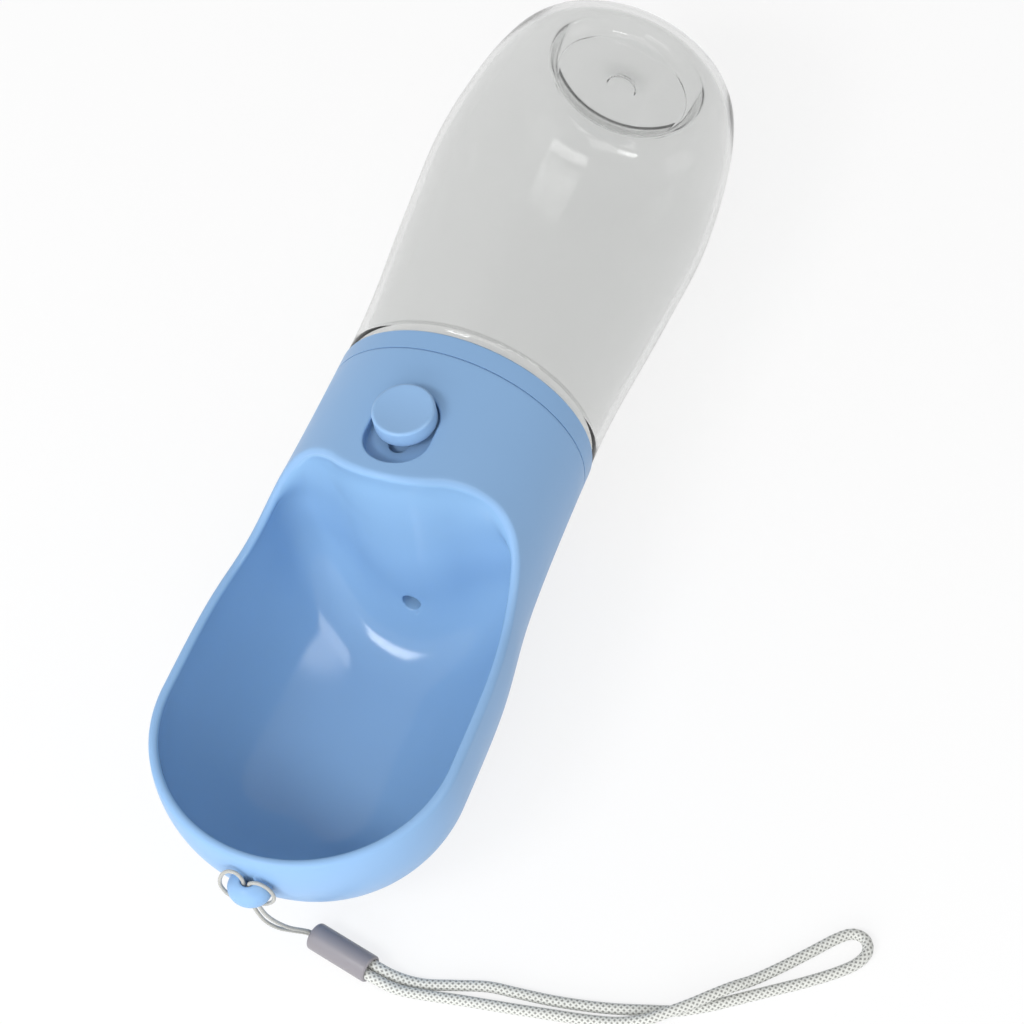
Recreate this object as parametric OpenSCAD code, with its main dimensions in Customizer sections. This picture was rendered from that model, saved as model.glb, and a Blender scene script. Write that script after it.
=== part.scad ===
// Travel water bottle for dogs, lying on its back with the bowl and the button up.
// Every piece is drawn along the bottle's own axis: base at 0, bowl at the far end,
// button on the +Y side. lay() then lays that axis level, with the base towards +Y.

/* [Bottle] */
// Radius of the bottle at its bulge
bulge_r = 36.1; // [34:0.1:37]
// Radius of the bottle at its waist, beside the collar
waist_r = 31.6; // [30:0.1:32]
// Length of the bottle from its foot to its shoulder
body_l = 114; // [100:1:130]
// Wall of the bottle
bottle_wall = 1.6; // [1.2:0.1:2.2]
// Inner radius of the ring that the bottle stands on
foot_r = 19.5; // [19:0.1:21]
// Radius of the flat middle of the pushed-up base
push_up_r = 17; // [14:0.5:18]
// Height of the pushed-up base over the foot
push_up_h = 6; // [4:0.5:8]
// Outer radius of the neck
neck_r = 22; // [20:0.1:22.4]
// Wall of the neck
neck_wall = 2; // [1.6:0.1:2.5]
// Length of the neck over the shoulder
neck_l = 10.4; // [9:0.1:12]

/* [Collar] */
// Outer radius of the collar where the housing meets it
collar_r = 31.9; // [31.6:0.1:33]
// Length of the collar's rim band that stays in view
band_l = 5.4; // [4:0.1:7]
// Room for the thread between the neck and the collar
thread_room = 1.4; // [1:0.1:1.6]
// Wall of the collar's barrel and of its spigot
collar_wall = 2; // [1.6:0.1:2.2]
// Thickness of the plate that closes the collar
plate_t = 2; // [1.6:0.1:2.4]
// Length of the spigot that the housing slips over
spigot_l = 8; // [6:0.5:10]
// Thickness of the silicone ring on the bottle's mouth
neck_seal_t = 1.3; // [1:0.1:1.8]

/* [Housing] */
// Wall of the moulded bowl and housing
shell_wall = 2.2; // [1.8:0.1:2.6]
// Outer radius of the bowl at its widest
bowl_r = 36.1; // [34:0.1:37]
// Length from the end wall's nose to the middle of the bowl's round end
bowl_l = 49.8; // [40:0.5:60]
// Length of the bowl's round end
bowl_end_l = 34.4; // [31:0.2:37]
// Height of the bowl's rim over the bottle's axis
rim_y = 6.4; // [2:0.2:10]
// Height over the axis at which the rim has risen to the end wall
lip_y = 22; // [20:0.5:25]
// Length over which the rim rises to the lip
lip_run = 24; // [18:0.5:30]
// Radius of the end wall's nose, seen from the front
nose_r = 24.7; // [20:0.1:30]
// Radius of the hollows beside the nose
hollow_r = 22.7; // [18:0.1:24]
// Distance of the hollows from the middle
hollow_x = 24; // [22:0.1:25]
// Radius of the bowl's corners beside the hollows
corner_r = 6.3; // [4:0.1:8]
// Radius between the end wall and the bowl's floor
floor_blend_r = 15; // [10:0.5:17]
// Material between the button pocket and the bowl
pocket_land = 3.8; // [3.2:0.1:6]

/* [Wrist strap lug] */
// Radius of the lug
lug_r = 4.4; // [4:0.1:5]
// Half height of the lug
lug_h = 3.4; // [2.6:0.1:3.6]
// How far the lug's middle lies below the bottle's axis
lug_drop = 3.2; // [2:0.1:5]
// Radius of the hole in the lug
lug_hole_r = 1.3; // [1:0.1:1.5]
// Distance of the lug's hole from the bowl's end
lug_reach = 1.8; // [1.6:0.1:2.4]

/* [Button] */
// Radius of the button
button_r = 7.7; // [7:0.1:8.5]
// How far the button stands out of the housing
button_out = 2.5; // [2:0.1:3.5]
// Distance of the button's middle from the seam
button_setback = 19; // [18.6:0.1:20]
// Depth of the pocket that the button stands in
pocket_depth = 3.4; // [3.1:0.1:3.8]
// Travel of the button when it is pressed
press_travel = 2; // [1.4:0.1:2.4]
// Travel of the button when it is slid to its lock
lock_travel = 5; // [4:0.1:5.5]
// Radius of the push rod under the button
rod_r = 2; // [1.6:0.1:2.2]
// Thickness of the lock carriage
carriage_t = 1.6; // [1.2:0.1:1.8]
// Half width of the lock carriage
carriage_w = 8; // [7:0.1:8.2]

/* [Valve] */
// Outer radius of the valve block's barrel
barrel_r = 6; // [5.7:0.1:6.4]
// Radius of the valve block's bore
bore_r = 4; // [3.8:0.1:4.2]
// Radius of the outlet hole in the bowl's end wall
outlet_r = 2.25; // [1.8:0.05:2.6]
// Distance of the outlet hole below the bottle's axis
outlet_drop = 18.4; // [17.5:0.1:19]
// Thickness of the valve block's foot
foot_t = 2; // [1.6:0.1:2.4]
// Radius of the circle that the valve block's screws stand on
screw_circle_r = 11.5; // [11:0.1:13]

/* [Wrist strap] */
// Radius of the grey sleeve
sleeve_r = 3.2; // [3.1:0.1:3.6]
// Length of the grey sleeve
sleeve_l = 16; // [14:0.5:16.5]
// Diameter of the braided loop
loop_d = 2.5; // [2:0.1:2.6]
// Diameter of the thin string
string_d = 1; // [0.8:0.1:1.1]

/* [Hidden] */
$fn = 96;

// Clearances: between fixed pieces, between sliding pieces, and past a cut
fit_gap = 0.2;
slide_gap = 0.1;
run_gap = 0.05;
past = 1;
far = 80;

// Bottle along its axis
shoulder_round = 2.6;
foot_tuck = 0.1;
foot_flat = 2.4;
nub_r = 3.9;
nub_h = 0.5;
mouth_z = body_l + neck_l;
collar_z = body_l + 0.3;
seam_z = collar_z + band_l + 0.1;
seam_gap = 0.15;

// Collar
barrel_bore_r = neck_r + thread_room;
collar_barrel_r = barrel_bore_r + collar_wall;
plate_z = mouth_z + neck_seal_t + fit_gap;
plate_top = plate_z + plate_t;
spigot_r = collar_r - shell_wall - fit_gap;
snap_h = 0.35;
snap_setback = 1.6;
rib_count = 8;
rib_t = 1.6;
pilot_boss_r = 2.6;
pilot_boss_l = 3.5;
pilot_r = 1;

// Button pocket
button_z = seam_z + button_setback;
pocket_r = button_r + 0.4;
pocket_end_z = button_z + lock_travel + pocket_r;
pocket_floor_y = collar_r + 0.1 - pocket_depth;
pocket_floor_t = 1.6;
pad_y = pocket_floor_y - pocket_floor_t;
rod_slot_r = rod_r + 0.3;
button_top_y = collar_r + 0.1 + button_out;

// Bowl
nose_z = pocket_end_z + pocket_land;
nose_mid_z = nose_z - nose_r;
hollow_rise = sqrt(pow(nose_r + hollow_r, 2) - pow(hollow_x, 2));
hollow_z = nose_mid_z + hollow_rise;
wall_z = hollow_z - hollow_r;
end_wall_t = 2.4;
bowl_z = nose_z + bowl_l;
tip_z = bowl_z + bowl_end_l;
chamber_r = collar_r - shell_wall;
chamber_end_z = wall_z - end_wall_t;
blend_y = floor_blend_r - (collar_r + 0.3 * (bowl_r - collar_r) - shell_wall);
blend_z = wall_z + floor_blend_r;

// Lug, whole length and height of the axis over the surface
lug_z = tip_z + lug_reach;
total_l = lug_z + lug_r;
lie_r = max(bulge_r, bowl_r);

// Lock carriage and its retainer
carriage_y = pad_y - fit_gap;
carriage_half = 6.5;
rail_w = 2;
rail_x = carriage_w + fit_gap;
retainer_y = carriage_y - carriage_t - fit_gap;
retainer_t = 1.6;
retainer_z0 = button_z - carriage_half - fit_gap;
retainer_z1 = button_z + lock_travel + carriage_half;
stake_r = 0.8;
stake_inset = 2;

// Push rod and spool
rod_foot_r = 3.5;
rod_foot_t = 1.4;
rod_foot_y = carriage_y - carriage_t - slide_gap - rod_foot_t;
cap_wall = 1.3;
cap_top_t = 1.6;
dish_r = 45;
dish_depth = 0.5;
cap_edge_r = 1;
cap_under_y = button_top_y - cap_top_t;
cap_skirt_y = pocket_floor_y + press_travel + slide_gap;
cap_boss_r = rod_r + 1.2;
cap_boss_l = press_travel + 0.2;
spool_head_y = rod_foot_y - 0.3;
spool_head_r = 3;
land_r = bore_r - slide_gap;
spool_waist_r = 2;
ring_r = 0.8;
ring_centre_r = bore_r - run_gap - ring_r;
upper_ring_y = 8;
lower_ring_y = -7.9;
land_half = 1.8;
seat_y = lower_ring_y - ring_r - 0.4;

// Valve block
block_top_y = 15;
valve_room_r = bore_r + 0.8;
plug_top_y = -outlet_drop - outlet_r - 0.2;
block_end_y = plug_top_y - 3.2;
plug_head_t = 1.4;
pedestal_w = 5;
pedestal_y = 9;
foot_r2 = screw_circle_r + 3.5;
foot_z = plate_top;
inlet_r = 2.4;
inlet_spigot_r = inlet_r + 1.1;
inlet_ring_r = 0.6;
screw_count = 4;
screw_r = 1.2;
screw_l = 5;
screw_head_r = 2.4;
screw_head_t = 1.2;

// Outlet tube in its sockets
tube_r = 3.2;
tube_bore_r = 2;
socket_wall = 1.4;
block_socket_z = button_z + barrel_r + 2.3;
house_socket_z = nose_z - end_wall_t - 3.7;
tube_z0 = button_z + barrel_r + 0.2;
tube_z1 = nose_z - end_wall_t - fit_gap;

// Springs
button_wire = 0.25;
button_coil_r = 4.7;
valve_wire = 0.35;
valve_coil_r = 3.2;
spool_tail_l = 3.4;

// Grey sleeve of the wrist strap, on the surface beside the bowl's end
sleeve_at = [14.5, -114.5];
sleeve_turn = -14;
sleeve_round = 0.8;
strand_gap = 2.6;
string_hole_r = 1.3;
string_hole_l = 3;

// Thin string: from the sleeve up through the lug's hole, round the lug and back
string_route = [
    [8.7, -113, 2.7], [6.7, -112.6, 2.7], [4.9, -112.8, 3.6], [3.1, -114.4, 6.6], [1.5, -116.6, 11.4],
    [0.4, -118.2, 17], [-0.3, -118.7, 22], [-0.6, -118.8, 26.6], [-0.6, -118.7, 31], [-0.6, -118.7, 35],
    [-0.8, -118.8, 37], [-2.4, -119.1, 38.2], [-4.6, -119.5, 37.4], [-6, -120.2, 35], [-6.4, -121, 32],
    [-5.4, -121.9, 29.2], [-2.8, -122.3, 27.8], [0, -122, 27.6], [2.8, -121.6, 28],
    [5.2, -120.6, 30.2], [5.9, -119.7, 33.4], [4.8, -119.2, 36.6], [2.6, -118.9, 38.2],
    [0.8, -118.7, 37.2], [0.6, -118.7, 35], [0.6, -118.7, 30], [0.8, -118.6, 26],
    [1.3, -118.2, 21], [2.3, -117.2, 16], [3.7, -115.6, 11], [5.1, -113.8, 7.2], [6, -112.8, 5],
    [7, -112.6, 3.9], [8.7, -113, 3.8]
];

// Braided loop: out of the sleeve, round its far end and back over itself
loop_route = [
    [13.4, -112.9, 3.2], [22.6, -115.2, 3.2], [28, -115.8, 2], [34, -115.3, 1.3],
    [41, -113.4, 1.3], [48, -111.5, 1.3], [55, -110.9, 1.3], [62, -110.3, 1.3],
    [69, -109.3, 1.3], [76, -107.9, 1.3], [83, -106, 1.3], [89, -104.2, 1.3],
    [95, -101.2, 1.3], [101, -97.4, 1.3], [107, -93.5, 1.3], [113, -89.6, 1.3],
    [118.5, -85.6, 1.3], [122.4, -82, 1.3], [123.9, -78.6, 1.3], [122.6, -75.9, 1.3],
    [119.8, -75.4, 1.3], [116.8, -77.4, 1.3], [112, -82.6, 1.3], [107, -88, 1.4],
    [102.5, -92.6, 1.8], [99.2, -95.8, 3], [95.8, -99.2, 3.8], [92, -102.8, 4],
    [88, -106, 3.8], [84, -108.6, 2.9], [78, -110.7, 1.5], [71, -112.2, 1.3],
    [64, -113.3, 1.3], [57, -114.4, 1.3], [50, -115.4, 1.3], [43, -116.4, 1.3],
    [36, -117.5, 1.3], [29, -118.5, 2], [21.9, -117.7, 3.2], [12.7, -115.4, 3.2]
];

// Colours
shell_blue = [0.56, 0.70, 0.87];
band_blue = [0.53, 0.66, 0.83];
clear_plastic = [0.84, 0.86, 0.87, 0.4];
valve_white = [0.93, 0.93, 0.91];
seal_grey = [0.55, 0.56, 0.57];
spring_steel = [0.74, 0.75, 0.77];
sleeve_grey = [0.58, 0.57, 0.62];
cord_silver = [0.80, 0.81, 0.79];

// Points of a clamped cubic spline, from its control points
function knots(n) = concat([0, 0, 0], [for (i = [0:n - 3]) i / (n - 3)], [1, 1, 1]);
function part_of(a, b) = b == 0 ? 0 : a / b;
function basis(k, i, u, t) =
    k == 0 ? (t[i] <= u && u < t[i + 1] ? 1 : 0)
           : part_of(u - t[i], t[i + k] - t[i]) * basis(k - 1, i, u, t)
           + part_of(t[i + k + 1] - u, t[i + k + 1] - t[i + 1]) * basis(k - 1, i + 1, u, t);
function spline(pts, steps) =
    let (t = knots(len(pts)))
    concat(
        [for (s = [0:steps - 1]) [for (i = [0:len(pts) - 1]) basis(3, i, s / steps, t)] * pts],
        [pts[len(pts) - 1]]
    );
function arc(c, rx, ry, a0, a1, steps) =
    [for (s = [0:steps]) let (a = a0 + (a1 - a0) * s / steps) c + [rx * cos(a), ry * sin(a)]];

// Tube swept along a list of points, its rings carried along without twist
function unit(v) = v / norm(v);
function heading(p, i) = unit(p[min(i + 1, len(p) - 1)] - p[max(i - 1, 0)]);
function levelled(n, t) = unit(n - (n * t) * t);
function sides_of(p, i, n) =
    i == len(p) ? [] : let (m = levelled(n, heading(p, i))) concat([m], sides_of(p, i + 1, m));

module tube(path, r, n) {
    first = heading(path, 0);
    side = abs(first[2]) > 0.9 ? [1, 0, 0] : [0, 0, 1];
    normals = sides_of(path, 0, side);
    rings = [
        for (i = [0:len(path) - 1])
            let (t = heading(path, i), u = normals[i], v = cross(t, u))
            for (k = [0:n - 1]) path[i] + r * (cos(360 * k / n) * u + sin(360 * k / n) * v)
    ];
    last = (len(path) - 1) * n;
    walls = [
        for (i = [0:len(path) - 2]) for (k = [0:n - 1])
            [i * n + k, (i + 1) * n + k, (i + 1) * n + (k + 1) % n, i * n + (k + 1) % n]
    ];
    ends = [[for (k = [0:n - 1]) k], [for (k = [0:n - 1]) last + n - 1 - k]];
    polyhedron(points = rings, faces = concat(walls, ends), convexity = 6);
}

// Directions: from the drawing axis to the lying bottle, and along its X and Y
module lay() translate([0, total_l / 2, lie_r]) rotate([90, 0, 0]) children();
module along_x(w) rotate([90, 0, 90]) translate([0, 0, -w / 2]) linear_extrude(w) children();
module along_y(y0, y1) translate([0, y1, 0]) rotate([90, 0, 0]) linear_extrude(y1 - y0) children();
module turned_y(z) translate([0, 0, z]) rotate([-90, 0, 0]) rotate_extrude() children();
module rod_y(r, y0, y1, z) translate([0, y0, z]) rotate([-90, 0, 0]) cylinder(r = r, h = y1 - y0);
module ring_z(r0, r1, z0, z1) {
    translate([0, 0, z0]) difference() {
        cylinder(r = r1, h = z1 - z0);
        translate([0, 0, -past]) cylinder(r = r0, h = z1 - z0 + 2 * past);
    }
}
module slot_y(r, y0, y1, z0, z1) {
    rod_y(r, y0, y1, z0);
    rod_y(r, y0, y1, z1);
    translate([-r, y0, z0]) cube([2 * r, y1 - y0, z1 - z0]);
}

// Bottle: waist, bulge and round base as one curve; inset gives the inside of the wall
function swell(share) = waist_r + share * (bulge_r - waist_r);
function bottle_curve(inset) = concat([
    for (p = spline([
        [waist_r - inset, body_l - shoulder_round], [swell(0.02) - inset, 0.86 * body_l],
        [swell(0.48) - inset, 0.7 * body_l], [swell(0.75) - inset, 0.55 * body_l],
        [swell(1.11) - inset, 0.4 * body_l], [swell(0.81) - inset, 0.25 * body_l],
        [swell(0.27) - inset, 0.1 * body_l], [swell(-0.9) - inset, inset - foot_tuck],
        [push_up_r, inset - foot_tuck]
    ], 48))
    if (p[1] > inset + 0.3) p
], [[foot_r + foot_flat - inset / 2, inset]]);

module bottle() {
    shoulder = arc([waist_r - shoulder_round, body_l - shoulder_round], shoulder_round, shoulder_round, 90, 10, 6);
    inner_round = shoulder_round - bottle_wall / 2;
    inner_shoulder = arc(
        [waist_r - bottle_wall - inner_round, body_l - bottle_wall - inner_round],
        inner_round, inner_round, 90, 10, 4
    );
    color(clear_plastic) lay() difference() {
        rotate_extrude() polygon(concat(
            [[0, mouth_z], [neck_r - 0.4, mouth_z], [neck_r, mouth_z - 0.4], [neck_r, body_l]],
            shoulder, bottle_curve(0), [[foot_r, 0]],
            arc([push_up_r + 0.4, 0], foot_r - push_up_r - 0.4, push_up_h - 0.8, 0, 90, 8),
            [[push_up_r, push_up_h], [nub_r, push_up_h], [nub_r - 0.4, push_up_h - nub_h], [0, push_up_h - nub_h]]
        ));
        rotate_extrude() polygon(concat(
            [[0, mouth_z + past], [neck_r - neck_wall, mouth_z + past], [neck_r - neck_wall, body_l - bottle_wall]],
            inner_shoulder, bottle_curve(bottle_wall), [[foot_r + bottle_wall, bottle_wall]],
            arc(
                [push_up_r + 0.4, bottle_wall], foot_r + bottle_wall - push_up_r - 0.4, push_up_h - 0.8,
                0, 90, 8
            ),
            [[push_up_r, push_up_h + bottle_wall], [0, push_up_h + bottle_wall]]
        ));
    }
}

// Silicone ring between the bottle's mouth and the collar's plate
module neck_seal() {
    color(seal_grey) lay() ring_z(neck_r - neck_wall, neck_r, mouth_z, mouth_z + neck_seal_t);
}

// Screw positions, shared by the valve block, its screws and the collar's bosses
module at_screw(k) rotate(45 + 360 * k / screw_count) translate([screw_circle_r, 0, 0]) children();
module at_screws() {
    for (k = [0:screw_count - 1]) at_screw(k) children();
}

// Threaded collar: barrel that the neck screws into, rim band, spigot and closing plate
module thread_collar() {
    band_end = seam_z - seam_gap;
    spigot_end = seam_z + spigot_l;
    spigot_in = spigot_r - collar_wall;
    color(band_blue) lay() difference() {
        union() {
            rotate_extrude() polygon([
                [barrel_bore_r, collar_z], [collar_r - 0.5, collar_z], [collar_r, collar_z + 0.5],
                [collar_r, band_end], [spigot_r, band_end], [spigot_r, spigot_end - snap_setback - 2 * snap_h],
                [spigot_r + snap_h, spigot_end - snap_setback - snap_h],
                [spigot_r, spigot_end - snap_setback], [spigot_r, spigot_end - 0.5],
                [spigot_r - 0.5, spigot_end], [spigot_in, spigot_end], [spigot_in, collar_z + collar_wall],
                [collar_barrel_r, collar_z + collar_wall], [collar_barrel_r, plate_top],
                [0, plate_top], [0, plate_z], [barrel_bore_r, plate_z]
            ]);
            for (k = [0:rib_count - 1]) rotate(360 * (k + 0.5) / rib_count)
                translate([barrel_bore_r + 0.5, -rib_t / 2, collar_z + 1])
                cube([spigot_in - barrel_bore_r, rib_t, spigot_end - collar_z - 2]);
            at_screws() translate([0, 0, plate_z - pilot_boss_l]) cylinder(r = pilot_boss_r, h = pilot_boss_l + past);
        }
        translate([0, 0, plate_z - past]) cylinder(r = inlet_spigot_r + fit_gap, h = plate_t + 2 * past);
        at_screws() translate([0, 0, plate_z - pilot_boss_l + 1]) cylinder(r = screw_r + run_gap, h = far / 4);
    }
}

// Outline of the housing from the seam to the bowl's end; inset gives the inside of its wall
function flare(share) = collar_r + share * (bowl_r - collar_r);
function along(share) = seam_z + share * (bowl_z - seam_z);
function shell_curve(inset) = concat(
    spline([
        [collar_r - inset, seam_z], [flare(0.02) - inset, along(0.14)], [flare(0.09) - inset, along(0.33)],
        [flare(0.33) - inset, along(0.52)], [bowl_r - inset, along(0.7)], [bowl_r - inset, along(0.87)],
        [bowl_r - inset, bowl_z]
    ], 20),
    arc([0, bowl_z], bowl_r - inset, bowl_end_l - inset, 5, 90, 17)
);

// The end wall seen from the front: a round nose between two hollows, moved back by shift
module end_wall_plan(shift) {
    meet_z = nose_mid_z + (nose_r - shift) * hollow_rise / (nose_r + hollow_r);
    translate([0, nose_mid_z]) circle(r = nose_r - shift);
    difference() {
        translate([-hollow_x, seam_z - past]) square([2 * hollow_x, meet_z - seam_z + past]);
        for (x = [-hollow_x, hollow_x]) translate([x, hollow_z]) circle(r = hollow_r + shift);
    }
    translate([-far, seam_z - past]) square([2 * far, wall_z - shift - seam_z + past]);
}

// The round blend from the end wall to the bowl's floor, seen from the side
module blend_side(shift) {
    difference() {
        translate([-far, seam_z - past]) square([far + blend_y, blend_z - seam_z + past]);
        translate([blend_y, blend_z]) circle(r = floor_blend_r + shift);
    }
}

// Where the housing is open to the front: over the rim, and up to the lip
module mouth() {
    intersection() {
        along_x(far) polygon(concat(
            [[far, wall_z], [lip_y, wall_z]],
            arc([lip_y, wall_z + lip_run], lip_y - rim_y, lip_run, 265, 180, 17),
            [[rim_y, tip_z + far / 4], [far, tip_z + far / 4]]
        ));
        along_y(-far / 2, far) difference() {
            translate([-far, wall_z]) square([2 * far, 2 * far]);
            end_wall_plan(0);
        }
    }
}

// Inside of the bowl: round floor, end wall with its nose, blends to the floor and the sides
module bowl_space() {
    intersection() {
        rotate_extrude() polygon(concat([[0, seam_z]], shell_curve(shell_wall)));
        along_y(-far / 2, far) difference() {
            translate([-far, wall_z]) square([2 * far, 2 * far]);
            end_wall_plan(0);
            for (s = [0, 1]) mirror([s, 0]) difference() {
                translate([hollow_x, wall_z - past]) square([far, corner_r + past]);
                translate([hollow_x, wall_z + corner_r]) circle(r = corner_r);
            }
        }
        along_x(far) difference() {
            translate([-far, wall_z]) square([2 * far, 2 * far]);
            blend_side(0);
        }
    }
}

// Room behind the end wall for the valve, with the groove that snaps over the collar
module valve_room() {
    difference() {
        intersection() {
            rotate_extrude() polygon(concat([[0, seam_z - past], [chamber_r, seam_z - past]], shell_curve(shell_wall)));
            union() {
                along_y(-far / 2, far / 2) end_wall_plan(end_wall_t);
                along_x(far) blend_side(end_wall_t);
            }
        }
        translate([-pocket_r - 2.2, pad_y, button_z - pocket_r - 2.2]) cube([2 * pocket_r + 4.4, far, far]);
    }
    snap_z = seam_z + spigot_l - snap_setback - snap_h;
    rotate_extrude() polygon([
        [chamber_r - past, snap_z - 3 * snap_h], [chamber_r, snap_z - 1.6 * snap_h],
        [chamber_r + snap_h, snap_z], [chamber_r, snap_z + 1.6 * snap_h], [chamber_r - past, snap_z + 3 * snap_h]
    ]);
}

module at_stakes() {
    for (x = [-1, 1]) for (z = [retainer_z0 + stake_inset, retainer_z1 - stake_inset])
        translate([x * (rail_x + rail_w / 2), 0, z]) children();
}

// Moulded housing: collar end, button pocket, end wall, bowl and wrist strap lug
module bowl_housing() {
    color(shell_blue) lay() {
        difference() {
            union() {
                rotate_extrude() polygon(concat([[0, seam_z]], shell_curve(0)));
                translate([0, -lug_drop, lug_z]) rotate([-90, 0, 0]) rotate_extrude() polygon(concat(
                    [[0, -lug_h], [lug_r - lug_h, -lug_h]],
                    arc([lug_r - lug_h, 0], lug_h, lug_h, -80, 80, 12), [[lug_r - lug_h, lug_h], [0, lug_h]]
                ));
            }
            mouth();
            bowl_space();
            valve_room();
            slot_y(pocket_r, pocket_floor_y, far / 2, button_z, button_z + lock_travel);
            slot_y(rod_slot_r, pad_y - past, pocket_floor_y + past, button_z, button_z + lock_travel);
            translate([0, -outlet_drop, chamber_end_z]) cylinder(r = outlet_r, h = 2 * floor_blend_r);
            translate([0, 0, lug_z]) rotate([90, 0, 0]) cylinder(r = lug_hole_r, h = far / 2, center = true);
        }
        for (x = [-rail_x - rail_w, rail_x]) translate([x, retainer_y + run_gap, retainer_z0])
            cube([rail_w, pad_y - retainer_y + 0.5, retainer_z1 - retainer_z0]);
        at_stakes() rod_y(stake_r, retainer_y - retainer_t - 0.6, retainer_y + 0.5, 0);
        translate([0, -outlet_drop, 0]) ring_z(tube_r + run_gap, tube_r + socket_wall, house_socket_z, nose_z - end_wall_t + 0.4);
    }
}

// Round button with a dished top and a boss for the push rod
module button_cap() {
    color(shell_blue) lay() difference() {
        turned_y(button_z) polygon(concat(
            [[0, button_top_y], [button_r - cap_edge_r, button_top_y]],
            arc([button_r - cap_edge_r, button_top_y - cap_edge_r], cap_edge_r, cap_edge_r, 85, 0, 6),
            [
                [button_r, cap_skirt_y], [button_r - cap_wall, cap_skirt_y], [button_r - cap_wall, cap_under_y],
                [cap_boss_r, cap_under_y], [cap_boss_r, cap_under_y - cap_boss_l], [0, cap_under_y - cap_boss_l]
            ]
        ));
        translate([0, button_top_y - dish_depth + dish_r, button_z]) sphere(r = dish_r, $fn = 200);
        rod_y(rod_r + run_gap, cap_under_y - cap_boss_l - past, cap_under_y, button_z);
    }
}

// Rod from the button, through pocket floor and carriage, to its foot on the spool
module push_rod() {
    color(valve_white) lay() {
        rod_y(rod_r, rod_foot_y + 0.2, cap_under_y - 0.1, button_z);
        rod_y(rod_foot_r, rod_foot_y, rod_foot_y + rod_foot_t, button_z);
    }
}

// Compression spring along Y from y0 to y1: closed end turns, open turns between them
module coil(y0, y1, coil_r, wire, turns) {
    steps = 12;
    rise = y1 - y0 - 2 * wire;
    end_rise = 2.05 * wire;
    path = [
        for (i = [0:steps * turns])
            let (t = i / steps, open = (rise - 2 * end_rise) / (turns - 2))
            let (y = end_rise * min(t, 1) + open * min(max(t - 1, 0), turns - 2) + end_rise * max(t - turns + 1, 0))
            [coil_r * cos(360 * t), y0 + wire + y, coil_r * sin(360 * t)]
    ];
    tube(path, wire, 6);
}

module button_spring() {
    color(spring_steel) lay() translate([0, 0, button_z])
        coil(pocket_floor_y + run_gap, cap_under_y - run_gap, button_coil_r, button_wire, 4);
}

module valve_spring() {
    color(spring_steel) lay() translate([0, 0, button_z])
        coil(plug_top_y + run_gap, lower_ring_y - land_half - run_gap, valve_coil_r, valve_wire, 7);
}

// Plate that slides with the button; slits leave two sprung fingers that click on the rails
module lock_carriage() {
    finger = 1.4;
    color(valve_white) lay() difference() {
        union() {
            translate([-carriage_w, carriage_y - carriage_t, button_z - carriage_half])
                cube([2 * carriage_w, carriage_t, 2 * carriage_half]);
            for (x = [-1, 1]) translate([x * (carriage_w - 0.4), 0, 0])
                rod_y(0.5, carriage_y - carriage_t, carriage_y, button_z);
        }
        rod_y(rod_r + run_gap, carriage_y - carriage_t - past, carriage_y + past, button_z);
        for (x = [-carriage_w + finger, carriage_w - finger - 1])
            translate([x, carriage_y - carriage_t - past, button_z - carriage_half + finger])
            cube([1, carriage_t + 2 * past, 2 * (carriage_half - finger)]);
    }
}

// Bridge that holds the carriage against the pocket floor, staked to the rails
module carriage_retainer() {
    color(valve_white) lay() difference() {
        translate([-rail_x - rail_w, retainer_y - retainer_t, retainer_z0])
            cube([2 * (rail_x + rail_w), retainer_t, retainer_z1 - retainer_z0]);
        slot_y(rod_foot_r + 0.4, retainer_y - retainer_t - past, retainer_y + past, button_z, button_z + lock_travel);
        at_stakes() rod_y(stake_r + run_gap, retainer_y - retainer_t - past, retainer_y + past, 0);
    }
}

// Valve body: barrel for the spool, foot screwed to the collar, inlet spigot, outlet socket
module valve_block() {
    color(valve_white) lay() difference() {
        union() {
            rod_y(barrel_r, block_end_y, block_top_y, button_z);
            translate([-pedestal_w, -pedestal_y, foot_z]) cube([2 * pedestal_w, 2 * pedestal_y, button_z - foot_z]);
            translate([0, 0, foot_z]) cylinder(r = foot_r2, h = foot_t);
            translate([0, 0, plate_z + 0.2]) cylinder(r = inlet_spigot_r, h = foot_t + plate_t);
            translate([0, -outlet_drop, button_z]) cylinder(r = tube_r + socket_wall, h = block_socket_z - button_z);
            translate([-0.8, -outlet_drop, foot_z]) cube([1.6, outlet_drop, button_z - foot_z - barrel_r / 2]);
        }
        rod_y(bore_r, seat_y, block_top_y + past, button_z);
        rod_y(valve_room_r, block_end_y - past, seat_y, button_z);
        translate([0, 0, plate_z]) cylinder(r = inlet_r, h = button_z - plate_z);
        translate([0, 0, foot_z - past]) cylinder(r = inlet_spigot_r + 2 * inlet_ring_r + fit_gap, h = past + 0.9);
        translate([0, -outlet_drop, button_z]) cylinder(r = tube_bore_r, h = far / 4);
        translate([0, -outlet_drop, tube_z0 - 0.1]) cylinder(r = tube_r + run_gap, h = far / 4);
        at_screws() translate([0, 0, foot_z - past]) cylinder(r = screw_r + 0.2, h = foot_t + 2 * past);
    }
    color(valve_white) lay() ring_z(inlet_r, inlet_spigot_r, plate_z + 0.2, foot_z + 0.9);
}

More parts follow.
